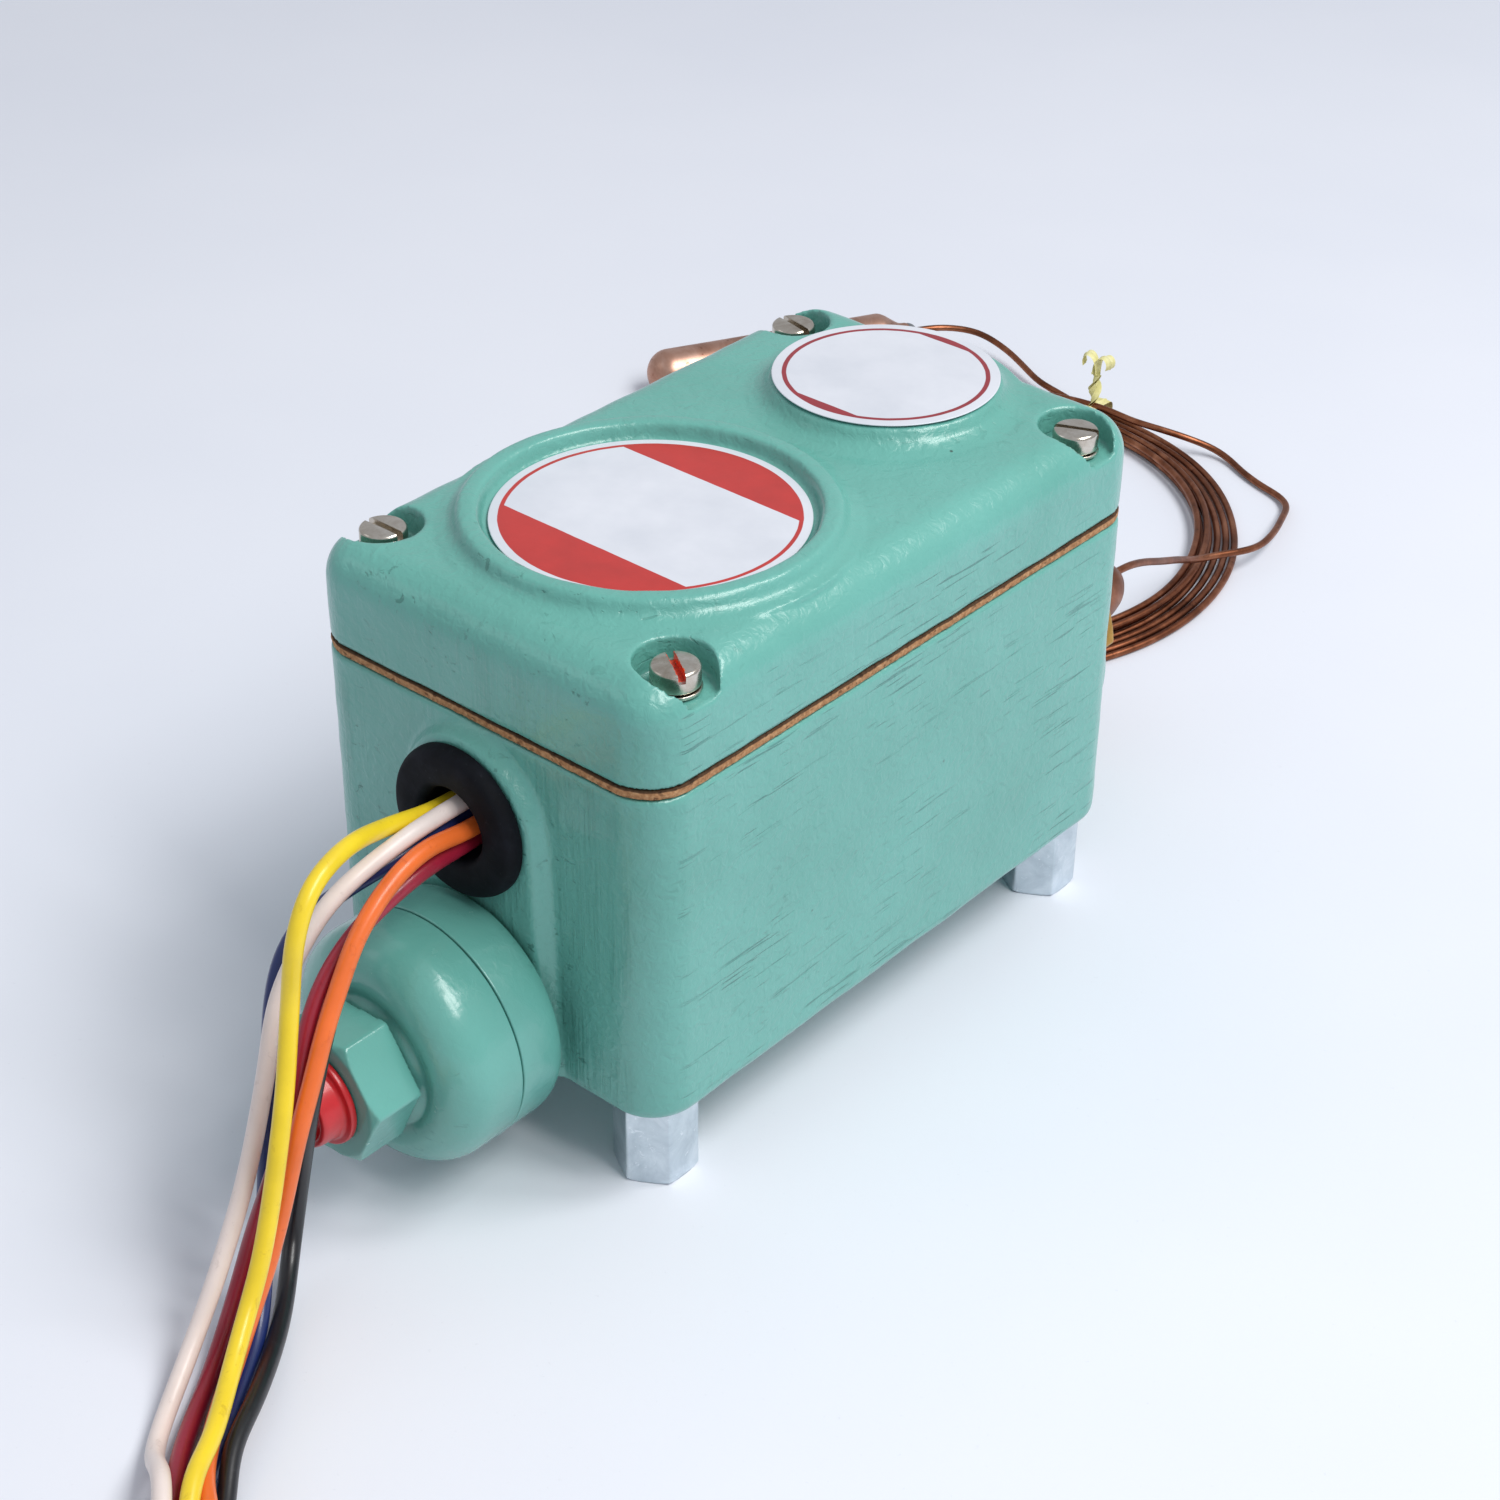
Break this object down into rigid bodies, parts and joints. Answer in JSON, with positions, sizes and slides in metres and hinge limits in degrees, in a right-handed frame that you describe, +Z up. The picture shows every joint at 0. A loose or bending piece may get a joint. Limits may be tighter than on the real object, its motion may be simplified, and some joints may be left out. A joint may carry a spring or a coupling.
{
  "type": "pressure switch",
  "caption": "Boxed two-bellows pressure switch on hex standoffs, with capped port, remote sensing bulb on a coiled capillary, and colour-coded lead wires through a grommet.",
  "frame": {"origin": "centre of the footprint of the switch body without its free cords, on the plane that its four standoffs stand on", "axes": "+Y from the pressure port to the rear bellows, +X across the narrow front face, +Z up"},
  "size_m": [0.2556, 0.4236, 0.1026],
  "materials": {
    "paint": "sea-green gloss enamel over a slightly rough casting",
    "cork": "tan cork and rubber sheet gasket",
    "rubber": "matte black moulded rubber",
    "label": "white printed foil with dark red rings",
    "brass": "turned brass, lightly tarnished",
    "copper": "brown aged copper",
    "bright_copper": "lightly tarnished copper tube",
    "red_plastic": "red moulded polyethylene",
    "bronze": "formed phosphor bronze",
    "phenolic": "black moulded phenolic",
    "nylon": "natural nylon",
    "spring_steel": "drawn spring wire",
    "tie": "pale yellow paper-covered wire",
    "nickel": "nickel plated steel",
    "zinc": "dull zinc plate",
    "steel": "bright plated steel",
    "lead_mixed": "six coloured PVC sheaths",
    "lead_yellow_sheath": "yellow PVC sheath",
    "lead_white_sheath": "white PVC sheath",
    "lead_orange_sheath": "orange PVC sheath",
    "lead_red_sheath": "red PVC sheath",
    "lead_black_sheath": "black PVC sheath",
    "lead_blue_sheath": "blue PVC sheath"
  },
  "bodies": {
    "root": {"adjusting_stud": "steel", "base_housing": "paint", "bracket_screw_front": "steel", "bracket_screw_rear": "steel", "capillary_coil": "copper", "capillary_hub": "copper", "capillary_lead": "copper", "capillary_tail": "copper", "coil_tie": "tie", "comp_bellows": "bronze", "comp_bellows_base": "paint", "comp_bellows_cup": "paint", "comp_hex_fitting": "brass", "cover": "paint", "cover_gasket": "cork", "cover_screw_front_left": "nickel", "cover_screw_front_right": "nickel", "cover_screw_rear_left": "nickel", "cover_screw_rear_right": "nickel", "hex_standoff_front_left": "zinc", "hex_standoff_front_right": "zinc", "hex_standoff_rear_left": "zinc", "hex_standoff_rear_right": "zinc", "lead_black": "lead_black_sheath", "lead_blue": "lead_blue_sheath", "lead_coil": "lead_mixed", "lead_orange": "lead_orange_sheath", "lead_red": "lead_red_sheath", "lead_tie": "tie", "lead_white": "lead_white_sheath", "lead_yellow": "lead_yellow_sheath", "lock_washer_front_left": "nickel", "lock_washer_front_right": "nickel", "lock_washer_rear_left": "nickel", "lock_washer_rear_right": "nickel", "mechanism_bracket": "steel", "nameplate_large": "label", "nameplate_small": "label", "pivot_pin": "steel", "port_cap_plug": "red_plastic", "pressure_bellows": "bronze", "pressure_bellows_base": "paint", "pressure_bellows_cup": "paint", "pressure_port_fitting": "paint", "range_spring": "spring_steel", "sensing_bulb": "bright_copper", "snap_switch_left": "phenolic", "snap_switch_right": "phenolic", "switch_mount_screw_lower": "steel", "switch_mount_screw_upper": "steel", "wire_grommet": "rubber"},
    "lever": {"balance_lever": "steel"},
    "pressure_rod": {"pressure_push_rod": "steel"},
    "compensating_rod": {"comp_push_rod": "steel"},
    "plunger_left": {"switch_plunger_left": "nylon"},
    "plunger_right": {"switch_plunger_right": "nylon"},
    "nut": {"adjusting_nut": "brass"}
  },
  "joints": [
    {"name": "lever_pivot", "type": "hinge", "parent": "root", "child": "lever", "pos_m": [0, -0.018, 0.042], "axis": [1, 0, 0], "range_deg": [0, 3.12], "stiffness_Nm_per_rad": 0.4},
    {"name": "pressure_rod_slide", "type": "slide", "parent": "root", "child": "pressure_rod", "axis": [0, 1, 0], "range_m": [0, 0.00081], "deforming": ["pressure_bellows"]},
    {"name": "compensating_rod_slide", "type": "slide", "parent": "root", "child": "compensating_rod", "axis": [0, 1, 0], "range_m": [0, 0.00081], "deforming": ["comp_bellows"]},
    {"name": "plunger_left_slide", "type": "slide", "parent": "root", "child": "plunger_left", "axis": [0, -1, 0], "range_m": [0, 0.0011]},
    {"name": "plunger_right_slide", "type": "slide", "parent": "root", "child": "plunger_right", "axis": [0, -1, 0], "range_m": [0, 0.0011]},
    {"name": "nut_turn", "type": "hinge", "parent": "root", "child": "nut", "pos_m": [0, 0.0293, 0.054], "axis": [0, 1, 0], "range_deg": [-360, 360]}
  ],
  "couplings": [
    {"joint": "pressure_rod_slide", "follows": "lever_pivot", "m_per_rad": 0.0147},
    {"joint": "compensating_rod_slide", "follows": "lever_pivot", "m_per_rad": 0.0147},
    {"joint": "plunger_left_slide", "follows": "lever_pivot", "m_per_rad": 0.02},
    {"joint": "plunger_right_slide", "follows": "lever_pivot", "m_per_rad": 0.02}
  ]
}
